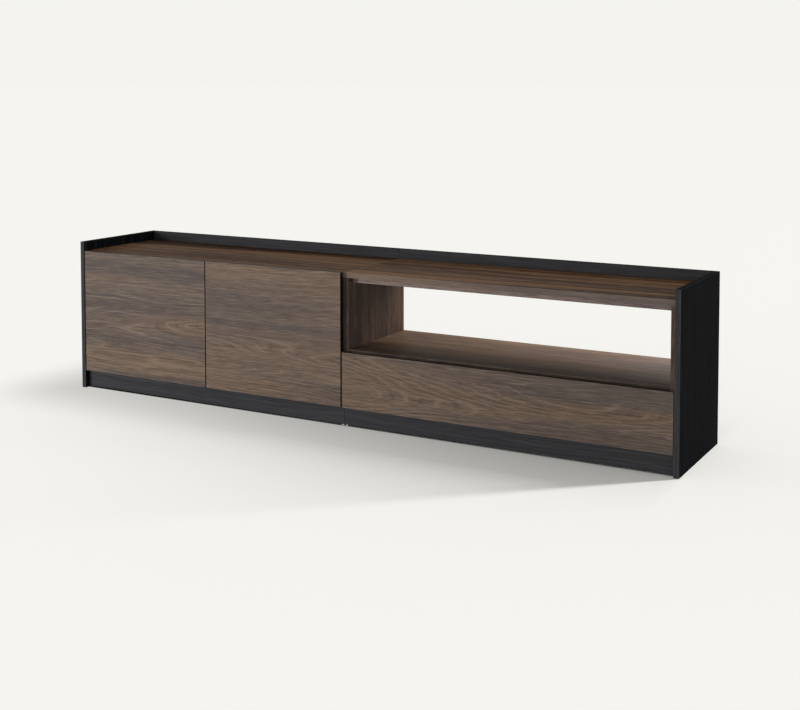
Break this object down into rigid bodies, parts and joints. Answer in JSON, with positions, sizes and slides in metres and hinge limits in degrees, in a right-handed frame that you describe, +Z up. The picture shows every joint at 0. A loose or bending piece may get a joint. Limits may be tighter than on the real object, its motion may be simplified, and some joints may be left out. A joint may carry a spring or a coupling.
{
  "type": "tv stand with doors",
  "caption": "Long low television bench in walnut-look board with a black shell: two plain doors on the left, an open niche over a wide drawer on the right.",
  "frame": {"origin": "middle of the footprint, on the floor", "axes": "front faces -Y, +X to the right along the length, +Z up"},
  "size_m": [2, 0.36, 0.48],
  "materials": {
    "black_ash": "satin black ash-grain board",
    "walnut_front": "satin walnut-look board, grain along the length",
    "walnut_top": "satin walnut-look board, grain along the length",
    "walnut_carcass": "satin walnut-look board",
    "drawer_board": "matt grey linen-look board",
    "back_hardboard": "matt printed hardboard",
    "beech": "bare fluted beech",
    "nickel_steel": "satin nickel plate",
    "zinc": "zinc plate",
    "latch_plastic": "moulded grey plastic",
    "glide_plastic": "moulded pale plastic"
  },
  "bodies": {
    "cabinet": {"side_panel_left": "black_ash", "side_panel_right": "black_ash", "rim_board_left": "black_ash", "rim_board_right": "black_ash", "plinth_front_left": "black_ash", "plinth_front_right": "black_ash", "plinth_back_left": "black_ash", "plinth_back_right": "black_ash", "plinth_braces": "black_ash", "glides": "glide_plastic", "top_board_left": "walnut_top", "top_board_right": "walnut_top", "base_board_left": "walnut_carcass", "base_board_right": "walnut_carcass", "carcass_side_left": "walnut_carcass", "cupboard_side_right": "walnut_carcass", "niche_side_left": "walnut_carcass", "carcass_side_right": "walnut_carcass", "cupboard_partition": "walnut_carcass", "cupboard_shelf_left": "walnut_carcass", "cupboard_shelf_right": "walnut_carcass", "shelf_pins": "nickel_steel", "niche_shelf": "walnut_carcass", "niche_rail_front": "walnut_carcass", "niche_rail_back": "walnut_carcass", "back_cupboards": "back_hardboard", "back_drawer": "back_hardboard", "wood_dowels": "beech", "cam_locks": "zinc", "cam_bolts": "zinc", "module_bolts": "nickel_steel", "hinge_arms_left": "nickel_steel", "hinge_arms_right": "nickel_steel", "latch_housing_left": "latch_plastic", "latch_housing_right": "latch_plastic", "runner_outer_members": "zinc"},
    "link_left": {"hinge_links_left": "nickel_steel"},
    "door_left": {"door_left": "walnut_front", "hinge_cups_left": "nickel_steel", "cup_screws_left": "zinc"},
    "link_right": {"hinge_links_right": "nickel_steel"},
    "door_right": {"door_right": "walnut_front", "hinge_cups_right": "nickel_steel", "cup_screws_right": "zinc"},
    "plunger_left": {"latch_plunger_left": "glide_plastic"},
    "plunger_right": {"latch_plunger_right": "glide_plastic"},
    "runner_middle": {"runner_middle_members": "nickel_steel"},
    "drawer": {"drawer_front": "walnut_front", "drawer_box_front": "drawer_board", "drawer_box_back": "drawer_board", "drawer_side_left": "drawer_board", "drawer_side_right": "drawer_board", "drawer_bottom": "drawer_board", "runner_inner_members": "zinc"}
  },
  "joints": [
    {"name": "link_left_swing", "type": "hinge", "parent": "cabinet", "child": "link_left", "pos_m": [-0.937, -0.136, 0.254], "axis": [0, 0, -1], "range_deg": [-22.5, 0]},
    {"name": "door_left_hinge", "type": "hinge", "parent": "link_left", "child": "door_left", "pos_m": [-0.9722, -0.1712, 0.254], "axis": [0, 0, -1], "range_deg": [0, 112.5]},
    {"name": "link_right_swing", "type": "hinge", "parent": "cabinet", "child": "link_right", "pos_m": [-0.0465, -0.136, 0.254], "axis": [0, 0, 1], "range_deg": [-22.5, 0]},
    {"name": "door_right_hinge", "type": "hinge", "parent": "link_right", "child": "door_right", "pos_m": [-0.0113, -0.1712, 0.254], "axis": [0, 0, 1], "range_deg": [0, 112.5]},
    {"name": "drawer_slide", "type": "slide", "parent": "cabinet", "child": "drawer", "axis": [0, -1, 0], "range_m": [0, 0.28]},
    {"name": "runner_middle_slide", "type": "slide", "parent": "cabinet", "child": "runner_middle", "axis": [0, -1, 0], "range_m": [0, 0.14]},
    {"name": "plunger_left_press", "type": "slide", "parent": "cabinet", "child": "plunger_left", "axis": [0, 1, 0], "range_m": [0, 0.003], "stiffness_N_per_m": 400},
    {"name": "plunger_right_press", "type": "slide", "parent": "cabinet", "child": "plunger_right", "axis": [0, 1, 0], "range_m": [0, 0.003], "stiffness_N_per_m": 400}
  ],
  "couplings": [
    {"joint": "link_left_swing", "follows": "door_left_hinge", "ratio": -0.2},
    {"joint": "link_right_swing", "follows": "door_right_hinge", "ratio": -0.2},
    {"joint": "runner_middle_slide", "follows": "drawer_slide", "ratio": 0.5}
  ]
}
